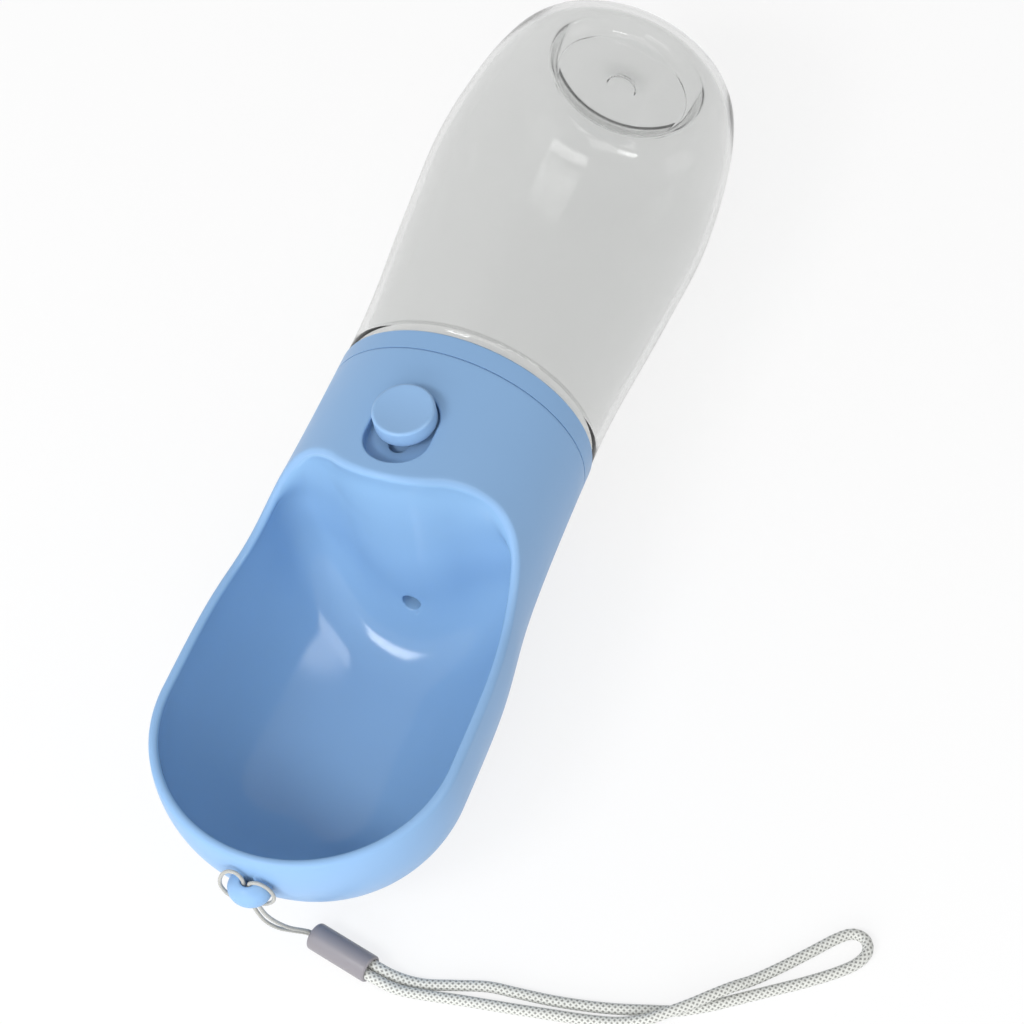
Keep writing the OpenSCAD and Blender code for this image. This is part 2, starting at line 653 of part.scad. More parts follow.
// Spool: head under the push rod, two lands with ring grooves, waist between, spring tail
module valve_spool() {
    tail_y = lower_ring_y - land_half;
    color(seal_grey) lay() difference() {
        union() {
            rod_y(spool_head_r, upper_ring_y, spool_head_y, button_z);
            rod_y(land_r, upper_ring_y - land_half, upper_ring_y + land_half, button_z);
            rod_y(spool_waist_r, lower_ring_y, upper_ring_y, button_z);
            rod_y(land_r, tail_y, lower_ring_y + land_half, button_z);
            rod_y(spool_waist_r, tail_y - spool_tail_l, lower_ring_y, button_z);
        }
        for (y = [upper_ring_y, lower_ring_y]) translate([0, y - ring_r - run_gap, button_z]) rotate([-90, 0, 0])
            ring_z(ring_centre_r - ring_r - run_gap, bore_r + past, 0, 2 * (ring_r + run_gap));
    }
}

module spool_ring(y) {
    color("dimgray") lay() translate([0, y, button_z]) rotate([-90, 0, 0])
        rotate_extrude() translate([ring_centre_r, 0]) circle(r = ring_r, $fn = 32);
}
module spool_ring_upper() spool_ring(upper_ring_y);
module spool_ring_lower() spool_ring(lower_ring_y);

// Plug that closes the lower end of the valve bore and carries the spring
module valve_end_plug() {
    color(valve_white) lay() {
        rod_y(valve_room_r - run_gap, block_end_y - 0.1, plug_top_y, button_z);
        rod_y(barrel_r, block_end_y - plug_head_t, block_end_y - run_gap, button_z);
    }
}

module inlet_seal() {
    color(seal_grey) lay() translate([0, 0, foot_z + inlet_ring_r - 0.15]) rotate_extrude()
        translate([inlet_spigot_r + inlet_ring_r + run_gap, 0]) circle(r = inlet_ring_r - 0.15, $fn = 32);
}

// Tube from the valve block to the end wall, and the seal round it between the sockets
module outlet_tube() {
    color(valve_white) lay() translate([0, -outlet_drop, 0]) ring_z(tube_bore_r, tube_r, tube_z0, tube_z1);
}
module outlet_seal() {
    color(seal_grey) lay() translate([0, -outlet_drop, 0])
        ring_z(tube_r + run_gap, tube_r + socket_wall, block_socket_z + run_gap, house_socket_z - run_gap);
}

// One of the four screws that hold the valve block to the collar
module valve_screw(k) {
    color(spring_steel) lay() at_screw(k) {
        translate([0, 0, foot_z + foot_t - screw_l]) cylinder(r = screw_r, h = screw_l + 0.2);
        translate([0, 0, foot_z + foot_t + run_gap]) cylinder(r = screw_head_r, h = screw_head_t);
    }
}

// Wrist strap: sleeve with a small hole for the string and a wide one for the loop
module strap_sleeve() {
    half = sleeve_l / 2;
    color(sleeve_grey) translate([sleeve_at[0], sleeve_at[1], sleeve_r + run_gap]) rotate([0, 90, sleeve_turn]) difference() {
        rotate_extrude() polygon([
            [0, -half], [sleeve_r - 2 * sleeve_round, -half], [sleeve_r - 0.6 * sleeve_round, 0.4 * sleeve_round - half],
            [sleeve_r, 1.6 * sleeve_round - half], [sleeve_r, half - sleeve_round / 2],
            [sleeve_r - sleeve_round / 2, half], [0, half]
        ]);
        translate([0, 0, -half - past]) cylinder(r = string_hole_r, h = string_hole_l + past);
        translate([0, 0, string_hole_l - half + 1]) cylinder(r = strand_gap / 2 + loop_d / 2 + run_gap, h = sleeve_l);
    }
}
module strap_string() color(cord_silver) tube(string_route, string_d / 2, 8);
module strap_loop() color(cord_silver) tube(loop_route, loop_d / 2, 8);

bottle();
neck_seal();
thread_collar();
bowl_housing();
button_cap();
push_rod();
button_spring();
lock_carriage();
carriage_retainer();
valve_block();
valve_spool();
spool_ring_upper();
spool_ring_lower();
valve_spring();
valve_end_plug();
inlet_seal();
outlet_tube();
outlet_seal();
valve_screw(0);  // valve_screw_1
valve_screw(1);  // valve_screw_2
valve_screw(2);  // valve_screw_3
valve_screw(3);  // valve_screw_4
strap_sleeve();
strap_string();
strap_loop();
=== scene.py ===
# Travel water bottle for dogs, lying on its back with the bowl and the button up.
# Lengths are in millimetres along the bottle, and at() turns them into the frame in metres.
import math
import bmesh
import bpy
import numpy as np
from mathutils import Matrix, Vector


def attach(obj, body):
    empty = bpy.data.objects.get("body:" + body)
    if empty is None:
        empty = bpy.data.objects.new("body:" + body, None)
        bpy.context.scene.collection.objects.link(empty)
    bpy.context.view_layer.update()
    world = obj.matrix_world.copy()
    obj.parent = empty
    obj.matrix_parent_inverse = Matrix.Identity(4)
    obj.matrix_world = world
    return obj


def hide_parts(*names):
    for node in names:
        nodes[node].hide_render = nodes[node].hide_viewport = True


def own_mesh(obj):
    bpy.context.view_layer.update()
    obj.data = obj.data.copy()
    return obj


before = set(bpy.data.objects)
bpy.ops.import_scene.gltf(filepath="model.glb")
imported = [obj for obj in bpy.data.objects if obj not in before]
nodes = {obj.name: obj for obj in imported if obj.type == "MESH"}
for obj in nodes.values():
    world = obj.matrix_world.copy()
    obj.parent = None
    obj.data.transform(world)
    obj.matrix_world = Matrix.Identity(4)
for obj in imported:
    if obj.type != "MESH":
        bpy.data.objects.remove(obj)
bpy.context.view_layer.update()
scene = bpy.context.scene


# The camera stands on the bowl's side, above it, and looks down along the bottle.
# Its place and turn come from the circles of the collar and of the bottle's foot.
camera = bpy.data.objects.new("camera", bpy.data.cameras.new("camera"))
scene.collection.objects.link(camera)
camera.location = (0.20963, -0.32270, 0.54934)
camera.rotation_euler = (0.603340, 0.125326, 0.368806)
camera.data.lens = 96.53
camera.data.sensor_width = 36
camera.data.shift_x = -0.0016
camera.data.shift_y = 0.0009
camera.data.clip_start = 0.01
scene.camera = camera


# Wrist loop: 250 mm of silver braid, 2.5 mm thick, of twelve strands. It comes out of the
# sleeve, turns at its far end and goes back over itself into the sleeve.
loop_thick, braid_lay, strand_pairs = 2.5, 1.3, 6
loop_route = [
    (13.4, -112.9, 3.2), (22.6, -115.2, 3.2), (28, -115.8, 2), (34, -115.3, 1.3),
    (41, -113.4, 1.3), (48, -111.5, 1.3), (55, -110.9, 1.3), (62, -110.3, 1.3),
    (69, -109.3, 1.3), (76, -107.9, 1.3), (83, -106, 1.3), (89, -104.2, 1.3),
    (95, -101.2, 1.3), (101, -97.4, 1.3), (107, -93.5, 1.3), (113, -89.6, 1.3),
    (118.5, -85.6, 1.3), (122.4, -82, 1.3), (123.9, -78.6, 1.3), (122.6, -75.9, 1.3),
    (119.8, -75.4, 1.3), (116.8, -77.4, 1.3), (112, -82.6, 1.3), (107, -88, 1.4),
    (102.5, -92.6, 1.8), (99.2, -95.8, 3), (95.8, -99.2, 3.8), (92, -102.8, 4),
    (88, -106, 3.8), (84, -108.6, 2.9), (78, -110.7, 1.5), (71, -112.2, 1.3),
    (64, -113.3, 1.3), (57, -114.4, 1.3), (50, -115.4, 1.3), (43, -116.4, 1.3),
    (36, -117.5, 1.3), (29, -118.5, 2), (21.9, -117.7, 3.2), (12.7, -115.4, 3.2),
]


def run_along(points):
    """Distance along a line of points, from its first one."""
    return np.concatenate([[0], np.cumsum(np.linalg.norm(np.diff(points, axis=0), axis=1))])


def smooth_path(points, spacing, steps=24):
    """Points of a smooth curve through the route's points, evenly spaced, in metres, and its length."""
    p = np.array(points, float) / 1000
    fine = []
    for i in range(len(p) - 1):
        a, b, c, d = p[max(i - 1, 0)], p[i], p[i + 1], p[min(i + 2, len(p) - 1)]
        for t in np.linspace(0, 1, steps, endpoint=False):
            fine.append(0.5 * (2 * b + (c - a) * t + (2 * a - 5 * b + 4 * c - d) * t * t
                               + (3 * b - a - 3 * c + d) * t ** 3))
    fine = np.array(fine + [p[-1]])
    run = run_along(fine)
    marks = np.linspace(0, run[-1], max(2, int(run[-1] * 1000 / spacing)))
    return np.stack([np.interp(marks, run, fine[:, k]) for k in range(3)], 1), run[-1]


def object_from(bm, name, *materials):
    """A finished piece: the mesh, smooth, in the scene with its materials."""
    mesh = bpy.data.meshes.new(name)
    bm.to_mesh(mesh)
    bm.free()
    mesh.shade_smooth()
    for material in materials:
        mesh.materials.append(material)
    piece = bpy.data.objects.new(name, mesh)
    scene.collection.objects.link(piece)
    return piece


def skin(rows):
    """A sheet of quads from a grid operator, laid over rings of points whose ends meet."""
    rows = np.asarray(rows, float)
    rows = np.concatenate([rows, rows[:, :1]], 1)
    down, across = rows.shape[:2]
    bm = bmesh.new()
    bmesh.ops.create_grid(bm, x_segments=across - 1, y_segments=down - 1, size=1, calc_uvs=False)
    bm.verts.ensure_lookup_table()
    for vert, place in zip(bm.verts, rows.reshape(-1, 3)):
        vert.co = place
    return bm


def close_up(bm, gap=1e-7, sliver=None):
    """Merge the points that meet at seams and poles, and turn every face outwards."""
    bmesh.ops.remove_doubles(bm, verts=bm.verts, dist=gap)
    if sliver:
        bmesh.ops.dissolve_degenerate(bm, edges=bm.edges, dist=sliver)
    bmesh.ops.recalc_face_normals(bm, faces=bm.faces)


def tube_along(path, radius, sides):
    """A tube whose rings are carried along the path without twist; its UV runs along and round."""
    path = np.asarray(path)
    ahead = np.gradient(path, axis=0)
    ahead /= np.linalg.norm(ahead, axis=1)[:, None]
    side = np.array([0, 0, 1.0]) if abs(ahead[0][2]) < 0.9 else np.array([1.0, 0, 0])
    turn = np.linspace(0, 2 * math.pi, sides, endpoint=False)
    rows = []
    lengths = []
    run = 0.0
    for i, (place, way) in enumerate(zip(path, ahead)):
        side = side - side.dot(way) * way
        side /= np.linalg.norm(side)
        other = np.cross(way, side)
        run += 0 if i == 0 else float(np.linalg.norm(place - path[i - 1]))
        lengths.append(run)
        rows.append(place + radius(run, turn)[:, None] * (np.cos(turn)[:, None] * side
                                                          + np.sin(turn)[:, None] * other))
    bm = skin(rows)
    uv = bm.loops.layers.uv.new("along_and_round")
    across = sides + 1
    bm.verts.index_update()
    for face in bm.faces:
        for corner in face.loops:
            i = corner.vert.index
            corner[uv].uv = (lengths[i // across] * 1000, (i % across) / sides)
    for row in (range(0, across), range(len(bm.verts) - across, len(bm.verts))):
        bm.verts.ensure_lookup_table()
        bm.faces.new([bm.verts[i] for i in row][:sides])
    close_up(bm)
    return bm


def shader(name, colour, roughness):
    """A new material, its surface shader, and two helpers: add a node, and link one to the surface."""
    material = bpy.data.materials.new(name)
    material.use_nodes = True
    tree = material.node_tree
    surface = tree.nodes["Principled BSDF"]
    surface.inputs["Base Color"].default_value = (*colour, 1)
    surface.inputs["Roughness"].default_value = roughness

    def add(kind, links=None, **settings):
        node = tree.nodes.new("ShaderNode" + kind)
        for key, value in settings.items():
            if key.startswith("in_"):
                node.inputs[int(key[3:])].default_value = value
            else:
                setattr(node, key, value)
        for socket, source in (links or {}).items():
            tree.links.new(source, node.inputs[socket])
        return node

    def link(source, socket):
        tree.links.new(source, surface.inputs[socket])
    return material, surface, add, link


def two_tones(add, share, dark, light):
    """A colour that goes from dark to light with the share."""
    mix = add("Mix", {0: share}, data_type="RGBA")
    mix.inputs[6].default_value = (*dark, 1)
    mix.inputs[7].default_value = (*light, 1)
    return mix.outputs[2]


braid, surface, add, link = shader("braided_cord", (0.40, 0.41, 0.39), 0.5)
surface.inputs["Sheen Weight"].default_value = 0.2
# The braid's colour is painted light on the strands' crests and darker where one strand dips under another:
# painted shade in the grooves.
parts = add("SeparateXYZ", {0: add("UVMap", uv_map="along_and_round").outputs[0]})
advance = add("Math", {0: parts.outputs[0]}, operation="MULTIPLY", in_1=2 * math.pi / braid_lay)
lobes = add("Math", {0: parts.outputs[1]}, operation="MULTIPLY", in_1=2 * math.pi * strand_pairs)
lays = [add("Math", {0: add("Math", {0: lobes.outputs[0], 1: advance.outputs[0]}, operation=way).outputs[0]},
            operation="COSINE") for way in ("SUBTRACT", "ADD")]
stitch = add("Math", {0: lays[0].outputs[0], 1: lays[1].outputs[0]}, operation="MAXIMUM")
lit = add("MapRange", {0: stitch.outputs[0]}, in_1=-0.6, in_2=0.7)
link(two_tones(add, lit.outputs[0], (0.20, 0.20, 0.19), (0.60, 0.61, 0.58)), "Base Color")
fibre = add("TexNoise", {"Vector": add("TexCoord").outputs["Object"]}, in_2=2600.0)
link(add("Bump", {"Height": fibre.outputs["Fac"]}, in_0=0.25, in_1=0.00005).outputs[0], "Normal")

loop_path, loop_length = smooth_path(loop_route, spacing=0.30)


def braided(run, turn):
    """Radius of the braid: its strands cross over each other, and it rises where one lies on top."""
    lay = 2 * math.pi * run / (braid_lay / 1000)
    over = np.maximum(np.cos(strand_pairs * turn - lay), np.cos(strand_pairs * turn + lay))
    return loop_thick / 2000 * (0.95 + 0.05 * over)


loop = object_from(tube_along(loop_path, braided, sides=40), "strap_loop_braid", braid)
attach(loop, "housing")
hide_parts("strap_loop")


# Grey sleeve that holds the loop's two ends and the string: a moulded barrel, 16 mm long,
# pressed over them, with a soft waist at its small end.
def moulded(name, colour, roughness, grain, depth, wander=0.04, metal=0.0, gloss=0.5):
    """A moulded finish: tone and sheen wander a little over the piece, under a fine surface grain."""
    material, surface, add, link = shader(name, colour, roughness)
    surface.inputs["Metallic"].default_value = metal
    surface.inputs["Specular IOR Level"].default_value = gloss
    place = add("TexCoord").outputs["Object"]
    cloud = add("TexNoise", {"Vector": place}, in_2=60.0, in_3=3.0)
    dark, light = ([min(1, c * share) for c in colour] for share in (1 - wander, 1 + wander))
    link(two_tones(add, cloud.outputs["Fac"], dark, light), "Base Color")
    sheen = add("MapRange", {0: cloud.outputs["Fac"]}, in_1=0.3, in_2=0.7, in_3=roughness * 0.85,
                in_4=roughness * 1.15)
    link(sheen.outputs[0], "Roughness")
    fine = add("TexNoise", {"Vector": place}, in_2=grain)
    link(add("Bump", {"Height": fine.outputs["Fac"]}, in_0=0.3, in_1=depth).outputs[0], "Normal")
    return material


sleeve_plastic = moulded("sleeve_plastic", (0.235, 0.222, 0.24), 0.36, grain=700.0, depth=0.00004)


def turned(profile, name, *materials, steps=128, lay=None):
    """A piece turned round the Z axis from a profile of (radius, height), in millimetres."""
    bm = bmesh.new()
    line = [bm.verts.new((r / 1000, 0, h / 1000)) for r, h in profile]
    edges = [bm.edges.new(pair) for pair in zip(line, line[1:])]
    bmesh.ops.spin(bm, geom=line + edges, angle=2 * math.pi, steps=steps, axis=(0, 0, 1), cent=(0, 0, 0),
                   use_merge=True)
    close_up(bm, sliver=1e-8)
    if lay is not None:
        bmesh.ops.transform(bm, matrix=lay, verts=bm.verts)
    return object_from(bm, name, *materials)


def quarter(cx, cy, rx, ry, a0, a1, steps=8):
    """Points on an arc of an ellipse, from angle a0 to a1 in degrees."""
    return [(cx + rx * math.cos(math.radians(a0 + (a1 - a0) * k / steps)),
             cy + ry * math.sin(math.radians(a0 + (a1 - a0) * k / steps))) for k in range(steps + 1)]


sleeve_lay = (Matrix.Translation((0.0145, -0.1145, 0.00325)) @ Matrix.Rotation(math.radians(-14), 4, "Z")
              @ Matrix.Rotation(math.radians(90), 4, "Y"))
sleeve_profile = [(1.25, -4), (1.25, -7.6)]
sleeve_profile += quarter(1.45, -7.75, 0.2, 0.2, 180, 270, 3) + quarter(2.5, -7.25, 0.7, 0.7, 270, 355, 8)
sleeve_profile += [(3.2, -6.2), (3.2, -5)] + quarter(2.7, 7.5, 0.5, 0.5, 0, 90, 6)
sleeve_profile += [(2.58, 7.98), (2.5, 7.6), (2.5, 0)]
sleeve = turned(sleeve_profile, "strap_sleeve_grey", sleeve_plastic, steps=64, lay=sleeve_lay)
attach(sleeve, "housing")
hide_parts("strap_sleeve")


# Thin string: 1 mm twisted nylon that ties the sleeve to the lug. It goes up through
# the lug's hole, over its side, under it, and down through the hole again.
string_thick, string_lay = 0.9, 3.4
string_route = [
    (8.7, -113, 2.7), (6.7, -112.6, 2.7), (4.9, -112.8, 3.6), (3.1, -114.4, 6.6),
    (1.5, -116.6, 11.4), (0.4, -118.2, 17), (-0.3, -118.7, 22), (-0.6, -118.8, 26.6),
    (-0.6, -118.7, 31), (-0.6, -118.7, 35), (-0.9, -118.3, 36.9), (-2.3, -117.9, 38.2),
    (-4.4, -118, 37.8), (-6.0, -118.7, 35.8), (-6.5, -119.3, 32.6), (-5.2, -119.5, 29.4),
    (-2.8, -119.3, 28), (0, -118.9, 27.6), (2.8, -118.7, 28.1), (5, -118.4, 30.2),
    (5.6, -118.2, 32.8), (4.7, -118, 35.2), (2.8, -118.1, 36.6), (1, -118.5, 36.4),
    (0.6, -118.7, 34.6), (0.6, -118.7, 30), (0.8, -118.6, 26), (1.3, -118.2, 21),
    (2.3, -117.2, 16), (3.7, -115.6, 11), (5.1, -113.8, 7.2), (6, -112.8, 5),
    (7, -112.6, 3.9), (8.7, -113, 3.8),
]
string_path, string_length = smooth_path(string_route, spacing=0.25)
twine, surface, add, link = shader("twisted_string", (0.42, 0.42, 0.39), 0.45)
surface.inputs["Sheen Weight"].default_value = 0.2
# The twist's diagonal bands are painted lighter on the yarns' crowns and darker in the grooves between them:
# painted shade.
twist = add("TexWave", {"Vector": add("Mapping", {0: add("UVMap", uv_map="along_and_round").outputs[0]},
                                      in_3=(1.4, 6.3, 1.0)).outputs[0]}, in_1=1.0, bands_direction="DIAGONAL")
link(two_tones(add, twist.outputs["Fac"], (0.26, 0.26, 0.24), (0.52, 0.52, 0.49)), "Base Color")


def twisted(run, turn):
    """Radius of the string: three yarns laid round each other."""
    lay = 2 * math.pi * run / (string_lay / 1000)
    return string_thick / 2000 * (0.90 + 0.10 * np.abs(np.cos(1.5 * (turn - lay))))


string = object_from(tube_along(string_path, twisted, sides=18), "strap_string_twine", twine)
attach(string, "housing")
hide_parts("strap_string")


# Bowl housing: one blue polypropylene moulding, satin outside and glossy in the bowl.
# Its wall is 2.2 mm, its rim is fully rounded, and a nosed end wall shuts off the valve's
# chamber. The button's pocket, the outlet hole and the strap's lug belong to it.
wall, bowl_r, bowl_z, tip_run = 2.2, 36.1, 205.5, 34.4
nose_r, nose_z, nose_half_angle = 24.7, 131.0, math.radians(30.4)
hollow_r, hollow_x, hollow_z, end_wall_z = 22.7, 24.0, 171.876, 149.176
edge_height, lip_height, arch_z, arch_high, arch_long = 6.4, 22, 173.176, 15.6, 24
seam_z, outlet_r, outlet_height = 120.1, 2.25, -18.4


def spline_through(points, count):
    """Points on the clamped cubic B-spline of a row of control points."""
    p = np.array(points, float)
    spans = len(p) - 3
    knots = np.concatenate([[0, 0, 0], np.linspace(0, 1, spans + 1), [1, 1, 1]])
    out = []
    for t in np.linspace(0, 1, count):
        k = min(int(t * spans), spans - 1) + 3
        near = [p[k - 3 + j] for j in range(4)]
        for level in (1, 2, 3):
            for j in range(3, level - 1, -1):
                share = (t - knots[j + k - 3]) / (knots[j + 1 + k - level] - knots[j + k - 3])
                near[j] = (1 - share) * near[j - 1] + share * near[j]
        out.append(near[3])
    return np.array(out)


side = spline_through([(31.9, 119.8), (31.984, 131.8), (32.278, 148.08), (33.286, 164.36), (36.1, 179.79),
                       (36.1, 194.36), (bowl_r, bowl_z)], 400)
dome = np.array([(bowl_r * math.sin(t), bowl_z + tip_run * math.cos(t))
                 for t in np.linspace(0, math.pi / 2, 400)])
meridian = np.concatenate([dome, side[::-1][1:]])
reach = run_along(meridian)


def outer_skin(flat):
    """Place and outward direction on the outer skin, from a flat chart whose middle is the bowl's tip."""
    s, turn = np.hypot(*flat.T), np.arctan2(flat[:, 1], flat[:, 0])
    r, z = (np.interp(s, reach, meridian[:, k]) for k in (0, 1))
    dr, dz = (np.interp(s + 0.02, reach, meridian[:, k]) - np.interp(s - 0.02, reach, meridian[:, k])
              for k in (0, 1))
    size = np.hypot(dr, dz) + 1e-12
    return (np.stack([r * np.cos(turn), r * np.sin(turn), z], -1),
            np.stack([-dz / size * np.cos(turn), -dz / size * np.sin(turn), dr / size], -1))


def eased(x):
    """A soft step from 0 to 1."""
    x = np.clip(x, 0, 1)
    return x * x * (3 - 2 * x)


def out_of_skin(p, inset=0.0):
    """Distance out of the skin, or out of the same skin moved in by inset."""
    rho, z = np.hypot(p[..., 0], p[..., 1]), p[..., 2]
    round_end = (np.hypot(rho / (bowl_r - inset), (z - bowl_z) / (tip_run - inset)) - 1) * (bowl_r - inset)
    return np.where(z > bowl_z, round_end, rho - np.interp(z, side[:, 1], side[:, 0]) + inset)


def past_end_wall(p):
    """Distance into the bowl from its end wall, which has a nose between two round hollows."""
    x, z = np.abs(p[..., 0]), p[..., 2]
    nose = np.hypot(x, z - nose_z) - nose_r
    hollow = hollow_r - np.where(z > hollow_z, 0, np.hypot(x - hollow_x, z - hollow_z))
    plan = np.where(np.arctan2(x, z - nose_z) < nose_half_angle, nose, hollow)
    return np.maximum(np.where(x < hollow_x, plan, z - end_wall_z), z - nose_z - nose_r)


def above_rim(p):
    """Distance up from the mouth's edge: level along the sides, then up in an ellipse to the lip."""
    y, z = p[..., 1], p[..., 2]
    u, v = np.minimum(y - lip_height, -1e-6) / arch_high, np.minimum(z - arch_z, 0) / arch_long
    q = np.hypot(u, v)
    arch = (1 - q) * q / np.hypot(u / arch_high, v / arch_long)
    cut = np.where(z >= arch_z, y - edge_height, np.where(y >= lip_height, z - end_wall_z, arch))
    return np.minimum(cut, past_end_wall(p))


def inside_bowl(p):
    """Distance into the bowl from its wall, with the end wall blended into the sides and the floor."""
    a, b = -out_of_skin(p, wall), past_end_wall(p)
    downwards = -p[..., 1] / (np.hypot(p[..., 0], p[..., 1]) + 1e-9)
    blend = 6.3 + 8.7 * eased((downwards - 0.2) / 0.6)
    return np.where((a < blend) & (b < blend), blend - np.hypot(blend - a, blend - b), np.minimum(a, b))


def edge_round(p):
    """Radius on the rim: half the wall along the sides, and fuller on the lip."""
    return wall / 2 + 0.6 * eased((p[..., 1] - 15) / 12) * eased((167 - p[..., 2]) / 10)


def blunt_max(a, b, r):
    """The larger of two distances, with the edge between them rounded."""
    return np.where((a > -r) & (b > -r), np.hypot(a + r, b + r) - r, np.maximum(a, b))


def slope_of(field, p):
    """Direction in which a distance grows."""
    g = np.stack([field(p + step) - field(p - step) for step in np.eye(3) * 0.02], -1)
    return g / (np.linalg.norm(g, axis=-1, keepdims=True) + 1e-12)


def open_space(p):
    """Distance into the space of the bowl and its mouth, with a rounded edge between them."""
    a, b = inside_bowl(p), above_rim(p)
    under_lip = edge_round(p) + 2.2 * eased((p[..., 1] - 7) / 17) * eased((180 - p[..., 2]) / 24)
    crossing = np.linalg.norm(np.cross(slope_of(inside_bowl, p), slope_of(above_rim, p)), axis=-1)
    return np.maximum(a, b) + crossing * (blunt_max(a, b, under_lip) - np.maximum(a, b))


def out_of_moulding(p):
    """Distance out of the housing's plastic, near its rim."""
    return blunt_max(out_of_skin(p), open_space(p), edge_round(p))


def halved(is_low, low, high, rounds=26):
    """Close in on where a condition that holds at low stops to hold, by halving the step."""
    for _ in range(rounds):
        middle = (low + high) / 2
        keep = is_low(middle)
        low, high = np.where(keep, middle, low), np.where(keep, high, middle)
    return low, high


def meet(field, start, way, low, high, rounds=26):
    """Points where rays cross a surface between two distances."""
    low, high = np.broadcast_to(low, way.shape[:-1]), np.broadcast_to(high, way.shape[:-1])
    sign = field(start + low[..., None] * way) > 0
    low, high = halved(lambda d: (field(start + d[..., None] * way) > 0) == sign, low, high, rounds)
    return start + ((low + high) / 2)[..., None] * way


seam_run = np.interp(-seam_z, -meridian[:, 1], reach)


def rim_line(spoke, hub=np.array([0.0, 60.0]), far=115):
    """Middle of the rim's rounding along spokes, with the chart's points there and at the seam."""
    way = np.stack([np.cos(spoke), np.sin(spoke)], -1)

    def level(d):
        place, out = outer_skin(hub + d[:, None] * way)
        centre = place - edge_round(place)[:, None] * out
        return above_rim(centre) + edge_round(place), centre, out
    steps = np.linspace(0, far, 2 * far + 1)
    first = np.stack([level(np.full(len(spoke), t))[0] <= 0 for t in steps]).argmax(0)
    low = halved(lambda d: level(d)[0] > 0, steps[first - 1], steps[first])[0]
    chart = hub + low[:, None] * way
    across = way @ hub
    edge = hub + (np.sqrt(across ** 2 - hub @ hub + seam_run ** 2) - across)[:, None] * way
    return level(low)[1:] + (chart, edge)


# The skin's rows run from the collar's end over the outside to the rim, round it and down the bowl.
# The gloss starts on the inner side of the rim, and what lies below the rim is smoothed.
around, side_rows, rim_rows, bowl_rows = 320, 72, 12, 76
gloss_row, smooth_row, floor_row = 92, 100, 135
spokes = np.linspace(-math.pi, math.pi, 5 * around + 1)
walk = run_along(rim_line(spokes)[0])
centre, out, chart, edge = rim_line(np.interp(np.linspace(0, walk[-1], around, endpoint=False), walk, spokes))
rise = slope_of(above_rim, centre)
rise -= (rise * out).sum(-1, keepdims=True) * out
rise /= np.linalg.norm(rise, axis=-1, keepdims=True)

turn = np.arctan2(edge[:, 1], edge[:, 0])
rows = [np.stack([r * np.cos(turn), r * np.sin(turn), np.full(around, z)], -1) for r, z in (
    (0, 146.776), (12, 146.776), (24, 146.77), (29.4, 146.7), (29.7, 146.4), (29.7, 140), (29.7, 130),
    (29.7, seam_z), (29.9, 119.69), (31.5, 119.69), (31.7, 119.74), (31.84, 119.88))]
rows += [outer_skin(edge + (chart - edge) * k / side_rows)[0] for k in range(side_rows)]
turned_in = np.pi - np.pi / 2 * eased((centre[:, 1] - 12) / 14) * eased((172 - centre[:, 2]) / 16)
for k in range(rim_rows + 1):
    lean = turned_in * k / rim_rows
    way = np.cos(lean)[:, None] * out + np.sin(lean)[:, None] * rise
    rows.append(meet(out_of_moulding, centre, way, 0, 4))
eye = np.array([0, 6.5, 195.0])
sight = rows[-1] - eye
heading = np.arctan2(sight[:, 0], sight[:, 2])
dip = np.arctan2(sight[:, 1], np.hypot(sight[:, 0], sight[:, 2]))
dips = dip + (np.linspace(1 / bowl_rows, 1, bowl_rows)[:, None] ** 1.3) * (-math.pi / 2 - dip)
way = np.stack([np.cos(dips) * np.sin(heading), np.sin(dips), np.cos(dips) * np.cos(heading)], -1)
steps = np.linspace(2, 72, 71)
first = np.stack([np.maximum(inside_bowl(eye + t * way), above_rim(eye + t * way)) <= 0
                  for t in steps]).argmax(0)
rows += list(meet(open_space, eye, way, steps[first - 1], steps[first] + 0.5, rounds=22))

half_length, lying_height = 123.05, 36.1


def at(p):
    """From millimetres across, up and along the bottle to the frame in metres."""
    p = np.asarray(p, float)
    return np.stack([p[..., 0], half_length - p[..., 2], p[..., 1] + lying_height], -1) / 1000


def smoothed(bm, verts, times):
    """Even out a patch of a skin."""
    for _ in range(times):
        bmesh.ops.smooth_vert(bm, verts=verts, factor=0.5, use_axis_x=True, use_axis_y=True, use_axis_z=True)


bm = skin(at(rows))
ring = around + 1
bowl_inside = bm.verts[:][smooth_row * ring:]
rim_inside = bm.verts[:][gloss_row * ring:floor_row * ring]
bmesh.ops.remove_doubles(bm, verts=bm.verts, dist=2e-6)
outlet_mouth = Vector(at((0, outlet_height, 149)))
bowl_inside = [vert for vert in bowl_inside if vert.is_valid and (vert.co - outlet_mouth).length > 0.008]
smoothed(bm, bowl_inside, times=14)

# The end wall's top corners get a softer blend, the softer the nearer a point lies to the corner.
lip_corner = Vector(at((24, 15.4, 150.45)))
corner_gaps = [(vert, (Vector((abs(vert.co.x), vert.co.y, vert.co.z)) - lip_corner).length)
               for vert in rim_inside if vert.is_valid]
for spread in (0.009, 0.008, 0.007, 0.006, 0.005, 0.004):
    smoothed(bm, [vert for vert, gap in corner_gaps if gap < spread], times=12)
bmesh.ops.dissolve_degenerate(bm, edges=bm.edges, dist=1e-7)
bmesh.ops.recalc_face_normals(bm, faces=bm.faces)
bm.faces.index_update()


def carve(piece, tool, operation="DIFFERENCE"):
    """Cut a tool's shape out of a piece, or join it on, by an exact boolean."""
    step = piece.modifiers.new("carve", "BOOLEAN")
    step.operation, step.solver, step.object = operation, "EXACT", tool
    bpy.context.view_layer.update()
    shaped = bpy.data.meshes.new_from_object(piece.evaluated_get(bpy.context.evaluated_depsgraph_get()))
    piece.modifiers.clear()
    piece.data = shaped
    bpy.data.objects.remove(tool)


